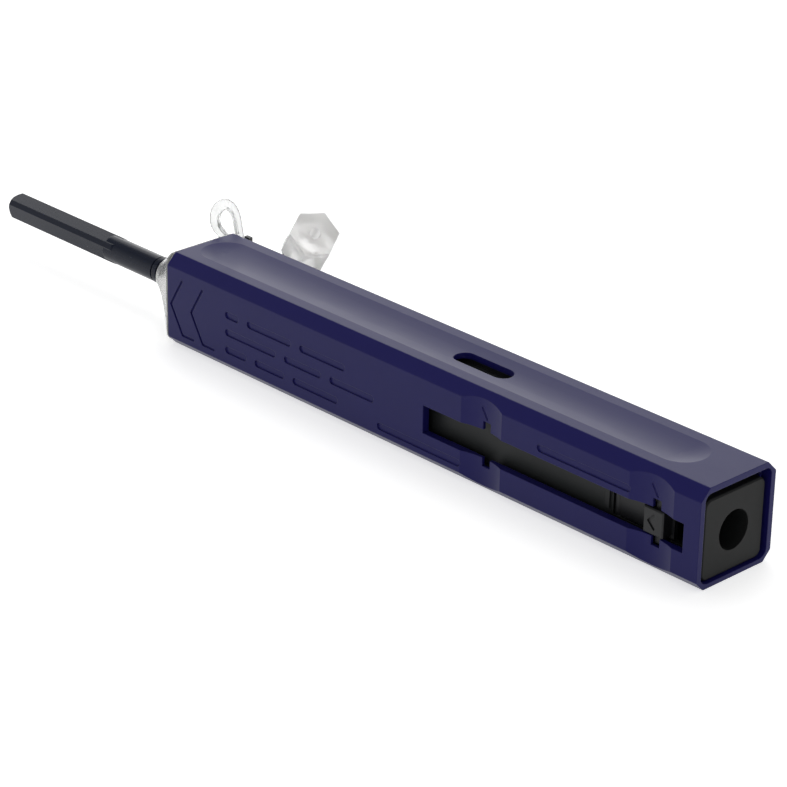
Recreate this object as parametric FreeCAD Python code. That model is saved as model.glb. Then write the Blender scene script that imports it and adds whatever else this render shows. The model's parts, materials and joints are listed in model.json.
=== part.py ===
"""Fibre connector cleaning pen: a square sleeve, a sliding cartridge and a push-in cleaning nozzle.

The pen lies along X with its nozzle towards -X, its slotted side towards -Y and its foot on z = 0.
The origin is the middle of the sleeve's underside. All sizes are millimetres.
"""
import FreeCAD, Part
import math
import os

V = FreeCAD.Vector

# ---------------------------------------------------------------- outer sleeve
SLEEVE_LENGTH = 147.6
SLEEVE_WIDTH = 20.5
SLEEVE_HEIGHT = 20.5
TOP_CHAMFER = 2.3
FOOT_CHAMFER = 2.0
EDGE_ROUND = 0.35             # every long outer edge
SIDE_WALL = 1.65
FLOOR_WALL = 0.95
ROOF_WALL = 1.65
CAVITY_CORNER = 1.5
RIM_STEP = 0.45               # the rear mouth is this much wider than the cavity, but for its floor
RIM_STEP_DEPTH = 2.4
RIM_LIFT = 0.15               # the wider mouth starts this far above the cavity's floor
DISH_HALF_WIDTH = 5.3         # long shallow dish along the roof
DISH_DEPTH = 0.45
DISH_REAR_GAP = 8.5
DISH_FRONT_GAP = 1.6
WINDOW_LENGTH = 14.7          # level window in the roof
WINDOW_WIDTH = 4.6
WINDOW_MIDDLE = 64.75         # from the rear end
SLOT_START = 3.7              # side slot, from the rear end
SLOT_END = 70.7
SLOT_HEIGHT = 5.9
LOCK_STANDARD = 11.0          # lock notch for the short nozzle, from the rear end
LOCK_TRAVEL = 43.3            # from that notch to the one for the long nozzle
NOTCH_WIDTH = 2.1
NOTCH_REACH = 4.75            # half height of a notch, from the slot's middle
SCOOP_WIDTH = 10.8            # thumb scoop across the side at each notch
SCOOP_DEPTH = 1.0
SCOOP_OFFSET = 0.7
GROOVE_WIDTH = 0.6
GROOVE_DEPTH = 0.3
CHEVRON_PITCH = 6.5
CHEVRON_RISE = 6.0            # half height of an arrow
CHEVRON_DEPTH = 3.6           # how far its point leads
CHEVRON_TAIL = 3.5
CHEVRON_LEAD = 1.1            # from its point to the sleeve's front end
TICK_SPAN = 1.9
BAR_WIDTH = 1.5               # plain engraved bars that mark the two settings and their use
BAR_ROWS = (3.15, -0.75, -4.65)        # above the pen's axis
BAR_START = 18.4              # from the front end
BAR_LENGTHS = ((4.2, 13.4, 13.4), (15.6, 11.0, 12.8), (6.6, 9.0, 13.4))
BAR_SPACE = 2.6
SETTING_BARS = ((83.5, 60.3, -5.85), (40.3, 16.8, 4.95))
AXIS_DROP = 0.15              # the nozzle's axis below the cavity's middle

# ------------------------------------------------------------------- cartridge
CASE_WIDTH = 14.0
CASE_HEIGHT = 16.2
CASE_WALL = 1.2
CASE_CORNER = 1.6
CASE_REAR = 3.0               # the case's two ends, from the sleeve's rear end
CASE_FRONT = 101.0
FRONT_WALL = 1.6
SLIDE_GAP = 0.2               # between the cartridge's runners and the sleeve
RUNNER_WIDTH = 1.2
COVER_RECESS = 0.6
COVER_BEVEL = 0.3
COVER_WIDTH = 16.5
COVER_HEIGHT = 16.3
COVER_DROP = 0.45             # the cover's middle below the pen's axis
SOCKET_RADIUS = 4.0
SOCKET_DEPTH = 6.0
SOCKET_WALL = 1.2
AXLE_RADIUS = 0.75
RUNNING_GAP = 0.05            # a turning piece on its axle
BOSS_RADIUS = 1.7
END_FLOAT = 0.25              # beside a turning piece
BULKHEAD = 73.0               # middle of the spring's bulkhead, from the rear end
BULKHEAD_THICKNESS = 1.2
SIGHT_HALF_WIDTH = 1.7

# --------------------------------------------------------------- release latch
PIVOT = 22.4                  # from the rear end
PIVOT_INSET = 0.6             # under the case's side face
PIVOT_PIN_RADIUS = 0.4
BARREL_RADIUS = 0.85
ARM_THICKNESS = 1.1
ARM_HALF_HEIGHT = 3.3
ARM_END = 8.6                 # from the rear end
LATCH_ROOM_END = 5.0          # rear end of the latch's opening in the case
RIB_HEIGHT = 0.5              # low ribs either side of the latch
RIB_WIDTH = 1.0
ARM_GAP = 0.3
EAR_WIDTH = 1.7
EAR_REACH = 4.45
EAR_CLEARANCE = 0.15          # under the sleeve's wall
EAR_THICKNESS = 1.75
BUTTON_START = 9.25
BUTTON_END = 14.05
BUTTON_GAP = 0.3              # beside the slot
BUTTON_INSET = 0.75           # under the sleeve's side face
ARROW_SPAN = 1.3
LATCH_SPRING_RADIUS = 1.4
LATCH_SPRING_WIRE = 0.2
LATCH_POST_RADIUS = 2.1
LATCH_POST_TIP = -1.6

# ----------------------------------------------------------- reels and gearing
MODULE = 0.4
PRESSURE_ANGLE = math.radians(20.0)
BACKLASH = 0.08
PINION_TEETH = 15             # on the rack
CLUTCH_TEETH = 20             # on the take-up gear
TAKE_UP_TEETH = 12
GEAR_THICKNESS = 1.35
STROKE = 7.0                  # how far the nozzle is pushed in
DRIVE_AXLE = 47.0             # from the rear end
RACK_DROP = 5.45              # the rack's pitch line below the pen's axis
RACK_ADDENDUM = 0.36
RACK_WIDTH = 1.5
RACK_RUN = 15.0
REEL_LIFT = 1.15              # reel axles above the cartridge's middle
SUPPLY_REEL = 64.8            # from the rear end
SUPPLY_FLANGE = 5.3
TAKE_UP_FLANGE = 4.6
FLANGE_THICKNESS = 0.6
REEL_GAP = 3.2                # between a reel's flanges
SUPPLY_HUB = 2.0
SUPPLY_ROLL = 4.6
TAKE_UP_HUB = 3.2
TAKE_UP_ROLL = 3.6
NECK_RADIUS = 1.9             # of the take-up reel, between its gear and its flanges
ROLL_SIDE_GAP = 0.2
RATCHET_TEETH = 12
RATCHET_RADIUS = 3.2
PINION_HUB = 1.35
RATCHET_DEPTH = 0.7
RATCHET_THICKNESS = 1.2
PAWL_REACH = (6.9, -3.0)      # pawl pin from the ratchet's axis, along X and Z
PAWL_TIP_GAP = 0.15
PAWL_WIDTH = 1.0
PAWL_TIP_DEG = 10.0
PAWL_PIN_RADIUS = 0.5
BRAKE_THICKNESS = 0.3

# ---------------------------------------------------------------- cleaning tape
TAPE_WIDTH = 2.0
TAPE_THICKNESS = 0.15
TAPE_LINE = 0.77              # inner face of each run, from the nozzle's axis
POST_RADIUS = 0.8
FRONT_POST = 69.6             # from the rear end
REAR_POST = 58.0
POST_DROP = 3.65              # below the pen's axis

# ----------------------------------------------------------- carriage and nozzle
CARRIAGE_LENGTH = 12.0
CARRIAGE_GAP = 0.2
CARRIAGE_PLATE = 1.6
CARRIAGE_HUB = 4.0
SLED_THICKNESS = 0.65
RETURN_SPRING_RADIUS = 4.8
RETURN_SPRING_WIRE = 0.3
TUBE_RADIUS = 2.3
TUBE_BORE = 1.7
TUBE_INSERTION = 3.2          # into the nozzle
NOZZLE_STAND = 13.2           # from the sleeve's front end to the nozzle's rim
NOZZLE_LENGTH = 51.9
SHANK_RADIUS = 2.85
NOZZLE_FLAT = 2.5             # from the axis to each flat
NOZZLE_FACET = 1.16           # width of the bevel on each long corner
NOZZLE_TURN_DEG = 12.0        # the flats' turn about the axis
SQUARE_LENGTH = 37.0
RUNOUT_LENGTH = 3.0           # where the square's corners sink into the round shank
NOZZLE_BORE = 1.9
TIP_CHAMFER = 0.6
RIM_RADIUS = 2.95
RIM_LENGTH = 1.2
RIM_GROOVE_RADIUS = 2.6       # groove between the rim and the shank
RIM_GROOVE_LENGTH = 0.5
BUSH_AT = 25.0                # from the tip to the spindle bush's front face
BUSH_LENGTH = 3.0
SPINDLE_HEAD = 13.0
SPINDLE_SHAFT = 0.45
SPINDLE_RECESS = 1.0
SPINDLE_TAIL = 2.0
HEAD_HALF_WIDTH = 1.15
HEAD_HALF_THICKNESS = 0.75
TIP_SPRING_RADIUS = 0.62
TIP_SPRING_WIRE = 0.1
FIT_GAP = 0.02                # a piece pressed or glued into another
COIL_STEPS = 14               # straight pieces of wire in a coil's turn
COIL_SIDES = 6

# ------------------------------------------------------------- front and tether
PLUG_THICKNESS = 3.0
PLUG_GAP = 0.1
NOSE_RADIUS = 4.2
NOSE_LENGTH = 7.5
NOSE_BORE = 3.1
TETHER_BASE = 0.9             # flange of the tether's collar
TETHER_COLLAR_LENGTH = 12.2
TETHER_MOUTH = 3.5
TETHER_WALL = 0.45
TETHER_INSET = 0.35           # the collar's flange inside the sleeve's outline
STRAP_WIDTH = 2.5
STRAP_THICKNESS = 1.1
CAP_HEAD_FLATS = 9.7
CAP_HEAD_LENGTH = 1.2
CAP_BODY_FLATS = 9.8
CAP_BODY_LENGTH = 8.4
CAP_NECK_RADIUS = 3.7
CAP_NECK_LENGTH = 1.9
CAP_LIP_RADIUS = 4.15
CAP_LIP_LENGTH = 1.1
CAP_SOCKET_RADIUS = 3.2
CAP_SOCKET_DEPTH = 8.0
CAP_TURN_DEG = 5.0
FERRULE_BORE = 1.27
CAP_AHEAD = 4.2               # middle of the cap's head, ahead of the sleeve's front end
CAP_BESIDE = 24.9             # beyond the sleeve's far side
CAP_LIFT = 12.0               # and above the bench
CAP_AXIS = (0.664, -0.321, 0.691)      # out of its head
RING_RADIUS = 5.1
RING_GAP = 0.1
RING_LENGTH = 1.6
STRAP_BEVEL = 0.25
STRAP_STEPS = 72
STRAP_ACROSS = (-0.8, 0.5, 0.2)        # the strap's width at the collar
STRAP_ROUTE = [                        # ahead of the front end, beyond the far side, above the bench
    (4.3, -4.1, 15.0), (4.7, -1.2, 18.5), (5.5, -2.3, 20.5), (5.7, -2.5, 22.6), (5.2, -1.9, 24.7),
    (4.3, -0.7, 25.4), (3.5, 0.5, 24.3), (3.0, 1.2, 22.0), (2.7, 1.6, 18.7), (2.5, 2.4, 12.0),
    (3.5, 4.5, 5.6), (5.9, 9.1, 2.4), (9.5, 15.3, 2.0), (12.0, 20.5, 2.7), (12.7, 24.1, 3.6)]
SNAP_INSET = 2.5              # lug of the front guide's snap, behind the front end
SNAP_LENGTH = 1.6
SNAP_DROP = 5.7               # the lug's foot below the sleeve's top
SNAP_HEIGHT = 4.7
SNAP_STAND = 0.9
SNAP_GAP = 0.15

# ------------------------------------------------------------------- worked out
REAR = SLEEVE_LENGTH / 2
FRONT = -SLEEVE_LENGTH / 2
SIDE = SLEEVE_WIDTH / 2
CAVITY_SIDE = SIDE - SIDE_WALL
CAVITY_FLOOR = FLOOR_WALL
CAVITY_ROOF = SLEEVE_HEIGHT - ROOF_WALL
AXIS_Z = (CAVITY_FLOOR + CAVITY_ROOF) / 2 - AXIS_DROP
CASE_SIDE = CASE_WIDTH / 2
CASE_HALF = CASE_HEIGHT / 2
ROOM_SIDE = CASE_SIDE - CASE_WALL
ROOM_FLOOR = AXIS_Z - CASE_HALF + CASE_WALL
ROOM_ROOF = AXIS_Z + CASE_HALF - CASE_WALL
REEL_Z = AXIS_Z + REEL_LIFT
RACK_PITCH_LINE = AXIS_Z - RACK_DROP
POST_HEIGHT = AXIS_Z - POST_DROP
NOZZLE_REAR = SLEEVE_LENGTH + NOZZLE_STAND
NOZZLE_TIP = NOZZLE_REAR + NOZZLE_LENGTH
SNAP_START = SLEEVE_LENGTH - SNAP_INSET
SNAP_LOW = SLEEVE_HEIGHT - SNAP_DROP
PINION_PITCH = MODULE * PINION_TEETH / 2
CLUTCH_PITCH = MODULE * CLUTCH_TEETH / 2
TAKE_UP_PITCH = MODULE * TAKE_UP_TEETH / 2
DRIVE_Z = RACK_PITCH_LINE + PINION_PITCH
GEAR_SPREAD = CLUTCH_PITCH + TAKE_UP_PITCH
TAKE_UP_REEL = DRIVE_AXLE - math.sqrt(GEAR_SPREAD ** 2 - (REEL_Z - DRIVE_Z) ** 2)
CARRIAGE_FRONT = CASE_FRONT - FRONT_WALL - CARRIAGE_GAP
CARRIAGE_REAR = CARRIAGE_FRONT - CARRIAGE_LENGTH


def from_rear(distance):
    """X of a place given by its distance from the sleeve's rear end."""
    return REAR - distance


# layers across the case, from the slotted side inwards
GEAR_LAYER = -ROOM_SIDE + END_FLOAT + 0.1
DRIVE_LAYER = GEAR_LAYER + GEAR_THICKNESS + END_FLOAT
FLANGE_INNER = REEL_GAP / 2
FLANGE_OUTER = FLANGE_INNER + FLANGE_THICKNESS
RATCHET_LAYER = FLANGE_OUTER + 0.4
PIVOT_Y = -CASE_SIDE + PIVOT_INSET


# ------------------------------------------------------------------ plain solids
def box(start, end, y_low, y_high, z_low, z_high):
    """A block between two distances from the rear end."""
    corner = V(from_rear(end), y_low, z_low)
    return Part.makeBox(end - start, y_high - y_low, z_high - z_low, corner)


def rod_x(start, end, radius, y=0.0, z=AXIS_Z):
    """A round rod along X between two distances from the rear end."""
    return Part.makeCylinder(radius, end - start, V(from_rear(end), y, z), V(1, 0, 0))


def rod_y(y_low, y_high, radius, distance, z):
    """A round rod across the pen."""
    return Part.makeCylinder(radius, y_high - y_low, V(from_rear(distance), y_low, z), V(0, 1, 0))


def rod_z(z_low, z_high, radius, distance, y):
    """An upright round rod."""
    return Part.makeCylinder(radius, z_high - z_low, V(from_rear(distance), y, z_low), V(0, 0, 1))


def ring_y(y_low, y_high, radius, bore, distance, z):
    """A ring or spool part across the pen."""
    return rod_y(y_low, y_high, radius, distance, z).cut(rod_y(y_low, y_high, bore, distance, z))


def fuse_all(shapes):
    """One solid from shapes that touch or overlap."""
    result = shapes[0].multiFuse(shapes[1:]) if len(shapes) > 1 else shapes[0]
    return result.removeSplitter()


def cut_all(shape, tools):
    """The shape less every tool."""
    return shape.cut(Part.makeCompound(tools)).removeSplitter()


def polygon_face(points):
    """A face from corner points."""
    return Part.Face(Part.makePolygon(points + [points[0]]))


def side_plate(outline, y_low, y_high):
    """A plate across the pen from an outline of (x, z) corners."""
    face = polygon_face([V(x, y_low, z) for x, z in outline])
    return face.extrude(V(0, y_high - y_low, 0))


def rounded_outline(x, half_width, z_low, z_high, radius):
    """A rounded rectangle across the pen as one wire."""
    corners = ((half_width, z_high, 0), (-half_width, z_high, 90),
               (-half_width, z_low, 180), (half_width, z_low, 270))
    arcs = []
    for y, z, start_deg in corners:
        centre_y = y - math.copysign(radius, y)
        centre_z = z_high - radius if z == z_high else z_low + radius
        angles = [math.radians(start_deg + step) for step in (0, 45, 90)]
        ends = [V(x, centre_y + radius * math.cos(a), centre_z + radius * math.sin(a)) for a in angles]
        arcs.append(Part.Arc(*ends).toShape())
    edges = []
    for index, arc in enumerate(arcs):
        following = arcs[(index + 1) % 4]
        edges.append(arc)
        edges.append(Part.LineSegment(arc.Vertexes[-1].Point, following.Vertexes[0].Point).toShape())
    return Part.Wire(edges)


def rounded_block(start, end, half_width, z_low, z_high, radius):
    """A rounded bar along X between two distances from the rear end."""
    wire = rounded_outline(from_rear(end), half_width, z_low, z_high, radius)
    return Part.Face(wire).extrude(V(end - start, 0, 0))


def skin(rings):
    """A closed solid over rings of points: side triangles between rings, and a flat cap at each end."""
    count = len(rings[0])
    faces = [polygon_face(rings[0][::-1]), polygon_face(rings[-1])]
    for first, second in zip(rings, rings[1:]):
        for index in range(count):
            after = (index + 1) % count
            faces.append(polygon_face([first[index], first[after], second[index]]))
            faces.append(polygon_face([second[index], first[after], second[after]]))
    solid = Part.Solid(Part.makeShell(faces))
    if solid.Volume < 0:
        solid.reverse()
    return solid


def coil(radius, wire_radius, length, turns):
    """A coil spring standing on z = 0 about Z, its wire in short straight pieces."""
    rise = length - 2 * wire_radius
    steps = int(turns * COIL_STEPS)
    rings = []
    for step in range(steps + 1):
        angle = 2 * math.pi * turns * step / steps
        outward = V(math.cos(angle), math.sin(angle), 0)
        middle = outward * radius + V(0, 0, wire_radius + rise * step / steps)
        ring = []
        for side in range(COIL_SIDES):
            turn = 2 * math.pi * side / COIL_SIDES
            lift = V(0, 0, wire_radius * math.sin(turn))
            ring.append(middle + outward * (wire_radius * math.cos(turn)) + lift)
        rings.append(ring)
    return skin(rings)


def coil_x(start, end, radius, wire_radius, turns):
    """A coil spring about the nozzle's axis."""
    spring = coil(radius, wire_radius, end - start, turns)
    spring.rotate(V(0, 0, 0), V(0, 1, 0), 90)
    spring.translate(V(from_rear(end), 0, AXIS_Z))
    return spring


def coil_y(y_low, y_high, radius, wire_radius, turns, distance):
    """A coil spring across the pen."""
    spring = coil(radius, wire_radius, y_high - y_low, turns)
    spring.rotate(V(0, 0, 0), V(1, 0, 0), -90)
    spring.translate(V(from_rear(distance), y_low, AXIS_Z))
    return spring


# ------------------------------------------------------------------ outer sleeve
def sleeve_body():
    """The sleeve's bar with its four chamfered edges."""
    top = SLEEVE_HEIGHT
    outline = [(-SIDE, FOOT_CHAMFER), (-SIDE, top - TOP_CHAMFER), (-SIDE + TOP_CHAMFER, top),
               (SIDE - TOP_CHAMFER, top), (SIDE, top - TOP_CHAMFER), (SIDE, FOOT_CHAMFER),
               (SIDE - FOOT_CHAMFER, 0), (-SIDE + FOOT_CHAMFER, 0)]
    bar = polygon_face([V(FRONT, y, z) for y, z in outline]).extrude(V(SLEEVE_LENGTH, 0, 0))
    long_edges = [edge for edge in bar.Edges if edge.Length > SLEEVE_LENGTH / 2]
    return bar.makeFillet(EDGE_ROUND, long_edges)


def dish():
    """The lens-shaped tool for the roof's dish: a long arc section with two turned ends."""
    radius = (DISH_HALF_WIDTH ** 2 + DISH_DEPTH ** 2) / (2 * DISH_DEPTH)
    top = SLEEVE_HEIGHT
    rear_x = REAR - DISH_REAR_GAP - DISH_HALF_WIDTH
    front_x = FRONT + DISH_FRONT_GAP + DISH_HALF_WIDTH
    bottom = V(front_x, 0, top - DISH_DEPTH)
    left = V(front_x, -DISH_HALF_WIDTH, top)
    right = V(front_x, DISH_HALF_WIDTH, top)
    section = Part.Face(Part.Wire([Part.Arc(left, bottom, right).toShape(),
                                   Part.LineSegment(right, left).toShape()]))
    middle = section.extrude(V(rear_x - front_x, 0, 0))
    cap_height = top - DISH_DEPTH + radius
    ends = []
    for x in (front_x, rear_x):
        ball = Part.makeSphere(radius, V(x, 0, cap_height))
        slab = Part.makeCylinder(DISH_HALF_WIDTH + 1, DISH_DEPTH + 1, V(x, 0, top - DISH_DEPTH - 1))
        ends.append(ball.common(slab))
    return [middle] + ends


def window(z_low, z_high, length, width, middle):
    """A slot with round ends through a roof."""
    half = width / 2
    reach = (length - width) / 2
    parts = [box(middle - reach, middle + reach, -half, half, z_low, z_high)]
    for distance in (middle - reach, middle + reach):
        parts.append(rod_z(z_low, z_high, half, distance, 0))
    return fuse_all(parts)


def scoop(lock):
    """The thumb scoop at a lock notch: an upright cylinder that grazes the side."""
    half = SCOOP_WIDTH / 2
    radius = (half ** 2 + SCOOP_DEPTH ** 2) / (2 * SCOOP_DEPTH)
    return rod_z(-1, SLEEVE_HEIGHT + 1, radius, lock + SCOOP_OFFSET, -SIDE + SCOOP_DEPTH - radius)


def groove(points, depth_y):
    """An engraved line through (distance, z) points, with round joints, down to depth_y."""
    half = GROOVE_WIDTH / 2
    outside = -SIDE - 1
    parts = []
    for (d0, z0), (d1, z1) in zip(points, points[1:]):
        length = math.hypot(d1 - d0, z1 - z0)
        bar = Part.makeBox(length, depth_y - outside, 2 * half, V(0, 0, -half))
        bar.rotate(V(0, 0, 0), V(0, 1, 0), math.degrees(-math.atan2(z1 - z0, d0 - d1)))
        bar.translate(V(from_rear(d0), outside, z0))
        parts.append(bar)
    for distance, z in points:
        parts.append(rod_y(outside, depth_y, half, distance, z))
    return fuse_all(parts)


def chevron(index):
    """One direction arrow near the front end."""
    point = SLEEVE_LENGTH - CHEVRON_LEAD - index * CHEVRON_PITCH
    arm = point - CHEVRON_DEPTH
    corners = [(arm, AXIS_Z + CHEVRON_RISE), (point, AXIS_Z), (arm, AXIS_Z - CHEVRON_RISE),
               (arm - CHEVRON_TAIL, AXIS_Z - CHEVRON_RISE)]
    return groove(corners, -SIDE + GROOVE_DEPTH)


def bar_groove(start, end, z):
    """One plain engraved bar with round ends."""
    half = BAR_WIDTH / 2
    depth = -SIDE + GROOVE_DEPTH
    parts = [box(end + half, start - half, -SIDE - 1, depth, z - half, z + half)]
    for distance in (end + half, start - half):
        parts.append(rod_y(-SIDE - 1, depth, half, distance, z))
    return fuse_all(parts)


def bar_grooves():
    """Three rows of bars behind the arrows, and one bar for each setting."""
    bars = [bar_groove(start, end, AXIS_Z + rise) for start, end, rise in SETTING_BARS]
    for rise, lengths in zip(BAR_ROWS, BAR_LENGTHS):
        start = SLEEVE_LENGTH - BAR_START
        for length in lengths:
            bars.append(bar_groove(start, start - length, AXIS_Z + rise))
            start -= length + BAR_SPACE
    return bars


def snap_stem(gap):
    """The stem of the front guide's snap through the sleeve's far wall, grown by a gap."""
    return box(SNAP_START + 0.2 - gap, SNAP_START + SNAP_LENGTH - 0.1 + gap, CAVITY_SIDE - 0.5, SIDE + 2 * gap,
               SNAP_LOW + 0.2 - gap, SNAP_LOW + 2.4 + gap)


def lock_places():
    """The two lock notches' distances from the rear end."""
    return (LOCK_STANDARD, LOCK_STANDARD + LOCK_TRAVEL)


def outer_sleeve():
    """The square sleeve with its cavity, slot, notches, scoops, dish and window."""
    cavity = rounded_block(-1, SLEEVE_LENGTH + 1, CAVITY_SIDE, CAVITY_FLOOR, CAVITY_ROOF, CAVITY_CORNER)
    mouth = rounded_block(-1, RIM_STEP_DEPTH, CAVITY_SIDE + RIM_STEP, CAVITY_FLOOR + RIM_LIFT,
                          CAVITY_ROOF + RIM_STEP, CAVITY_CORNER)
    tools = [cavity, mouth]
    tools += dish()
    tools.append(window(CAVITY_ROOF - 1, SLEEVE_HEIGHT + 1, WINDOW_LENGTH, WINDOW_WIDTH, WINDOW_MIDDLE))
    half_slot = SLOT_HEIGHT / 2
    tools.append(box(SLOT_START, SLOT_END, -SIDE - 1, -CAVITY_SIDE + 1,
                     AXIS_Z - half_slot, AXIS_Z + half_slot))
    for lock in lock_places():
        tools.append(scoop(lock))
        tools.append(box(lock - NOTCH_WIDTH / 2, lock + NOTCH_WIDTH / 2, -SIDE - 1, -CAVITY_SIDE + 1,
                         AXIS_Z - NOTCH_REACH, AXIS_Z + NOTCH_REACH))
        tick_low = AXIS_Z + NOTCH_REACH + 0.7
        tools.append(groove([(lock + 1.2, tick_low + TICK_SPAN), (lock, tick_low)],
                            -SIDE + SCOOP_DEPTH + GROOVE_DEPTH / 2))
    for index in range(2):
        tools.append(chevron(index))
    tools += bar_grooves()
    tools.append(snap_stem(SNAP_GAP))
    return cut_all(sleeve_body(), tools)


# --------------------------------------------------------------------- cartridge
def axle_places():
    """Distance from the rear end and height of the supply, take-up and drive axles."""
    return {
        "supply": (SUPPLY_REEL, REEL_Z),
        "take_up": (TAKE_UP_REEL, REEL_Z),
        "drive": (DRIVE_AXLE, DRIVE_Z),
    }


def pawl_pin_place():
    """Distance from the rear end and height of the pawl's pin."""
    return (TAKE_UP_REEL - PAWL_REACH[0], REEL_Z + PAWL_REACH[1])


def runners():
    """Long ribs that guide the cartridge in the sleeve."""
    low_side = AXIS_Z - CASE_HALF
    high_side = AXIS_Z + CASE_HALF
    side_reach = CAVITY_SIDE - SLIDE_GAP
    strips = []
    for z in (low_side + 1.4, high_side - 1.4 - RUNNER_WIDTH):
        strips.append(box(CASE_REAR, CASE_FRONT, CASE_SIDE - 0.4, side_reach, z, z + RUNNER_WIDTH))
        strips.append(box(CASE_REAR, CASE_FRONT, -side_reach, -CASE_SIDE + 0.4, z, z + RUNNER_WIDTH))
    for y in (-4.0, 4.0 - RUNNER_WIDTH):
        strips.append(box(CASE_REAR, CASE_FRONT, y, y + RUNNER_WIDTH,
                          high_side - 0.4, CAVITY_ROOF - SLIDE_GAP))
        strips.append(box(CASE_REAR, CASE_FRONT, y, y + RUNNER_WIDTH,
                          CAVITY_FLOOR + SLIDE_GAP, low_side + 0.4))
    return strips


def axle_boss(y_low, y_high, distance, z):
    """A boss that carries an axle's end on the case's wall."""
    return rod_y(y_low, y_high, BOSS_RADIUS, distance, z)


def whole_case():
    """Both halves of the case in one piece, before the split and the bores."""
    low = AXIS_Z - CASE_HALF
    high = AXIS_Z + CASE_HALF
    outer = rounded_block(CASE_REAR, CASE_FRONT, CASE_SIDE, low, high, CASE_CORNER)
    room = box(CASE_REAR - 1, CASE_FRONT - FRONT_WALL, -ROOM_SIDE, ROOM_SIDE, ROOM_FLOOR, ROOM_ROOF)
    shell = outer.cut(room)
    bulkhead = box(BULKHEAD - BULKHEAD_THICKNESS / 2, BULKHEAD + BULKHEAD_THICKNESS / 2,
                   -ROOM_SIDE - 0.1, ROOM_SIDE + 0.1, ROOM_FLOOR + 1.3, ROOM_ROOF + 0.1)
    tape_gate = box(BULKHEAD - 2, BULKHEAD + 2, -TAPE_WIDTH / 2 - 0.5, TAPE_WIDTH / 2 + 0.5,
                    ROOM_FLOOR, ROOM_ROOF - 1.5)
    parts = [shell, bulkhead.cut(tape_gate)] + runners()
    inner_face = {"supply": (-FLANGE_OUTER - 0.1, FLANGE_OUTER + BRAKE_THICKNESS + 0.15),
                  "take_up": (GEAR_LAYER - 0.1, RATCHET_LAYER + RATCHET_THICKNESS + 0.15),
                  "drive": (GEAR_LAYER - 0.1, FLANGE_OUTER + 0.4)}
    for name, (distance, z) in axle_places().items():
        near, far = inner_face[name]
        parts.append(axle_boss(-ROOM_SIDE - 0.1, near, distance, z))
        parts.append(axle_boss(far, ROOM_SIDE + 0.1, distance, z))
    distance, z = pawl_pin_place()
    parts.append(rod_y(RATCHET_LAYER + RATCHET_THICKNESS + 0.1, ROOM_SIDE + 0.1, 1.2, distance, z))
    for post in (FRONT_POST, REAR_POST):
        parts.append(rod_y(-TAPE_WIDTH / 2 - 0.4, ROOM_SIDE + 0.1, POST_RADIUS, post, POST_HEIGHT))
    parts.append(rod_y(LATCH_POST_TIP, ROOM_SIDE + 0.1, LATCH_POST_RADIUS, LOCK_STANDARD + 1, AXIS_Z))
    half_slot = SLOT_HEIGHT / 2 - BUTTON_GAP
    for rib in (LATCH_ROOM_END - RIB_WIDTH, PIVOT + BARREL_RADIUS + 2 * ARM_GAP + 0.3):
        parts.append(box(rib, rib + RIB_WIDTH, -CASE_SIDE - RIB_HEIGHT, -CASE_SIDE + 0.1,
                         AXIS_Z - half_slot, AXIS_Z + half_slot))
    return fuse_all(parts)


def case_bores():
    """Holes through the case: axles, tube, sight window and the latch's opening."""
    tools = []
    for distance, z in axle_places().values():
        tools.append(rod_y(-CASE_SIDE + 0.5, CASE_SIDE - 0.5, AXLE_RADIUS + FIT_GAP, distance, z))
    distance, z = pawl_pin_place()
    tools.append(rod_y(0, CASE_SIDE - 0.5, PAWL_PIN_RADIUS + FIT_GAP, distance, z))
    tools.append(rod_x(CASE_FRONT - FRONT_WALL - 1, CASE_FRONT + 1, TUBE_RADIUS + 0.1))
    tools.append(window(ROOM_ROOF - 1, ROOM_ROOF + 3, WINDOW_LENGTH - 3,
                        2 * SIGHT_HALF_WIDTH, WINDOW_MIDDLE))
    arm = ARM_HALF_HEIGHT + ARM_GAP
    ear = EAR_REACH + ARM_GAP
    outside = -SIDE
    tools.append(box(LATCH_ROOM_END, PIVOT + BARREL_RADIUS + ARM_GAP, outside, -ROOM_SIDE + 0.2,
                     AXIS_Z - arm, AXIS_Z + arm))
    tools.append(box(LOCK_STANDARD - EAR_WIDTH / 2 - ARM_GAP - 0.3, LOCK_STANDARD + EAR_WIDTH / 2 + ARM_GAP,
                     outside, -ROOM_SIDE + 0.2, AXIS_Z - ear, AXIS_Z + ear))
    pin_reach = arm + 0.9
    tools.append(rod_z(AXIS_Z - pin_reach, AXIS_Z + pin_reach, PIVOT_PIN_RADIUS + FIT_GAP, PIVOT, PIVOT_Y))
    return tools


def case_halves():
    """The near and far halves of the case."""
    case = cut_all(whole_case(), case_bores())
    reach = SLEEVE_LENGTH
    near_side = Part.makeBox(2 * reach, SIDE, 2 * SIDE + 5, V(-reach, -SIDE, -1))
    far_side = Part.makeBox(2 * reach, SIDE, 2 * SIDE + 5, V(-reach, 0, -1))
    posts = [rod_y(-SIDE, 0.0, POST_RADIUS, post, POST_HEIGHT) for post in (FRONT_POST, REAR_POST)]
    posts.append(rod_y(-SIDE, 0.0, LATCH_POST_RADIUS, LOCK_STANDARD + 1, AXIS_Z))
    tips = case.common(Part.makeCompound(posts)).common(near_side)
    tips = tips.common(box(0, CASE_FRONT, -ROOM_SIDE + 1, 0, 0, SLEEVE_HEIGHT))
    near = case.common(near_side).cut(tips).removeSplitter()
    far = case.common(far_side).fuse(tips).removeSplitter()
    return near, far


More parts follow.
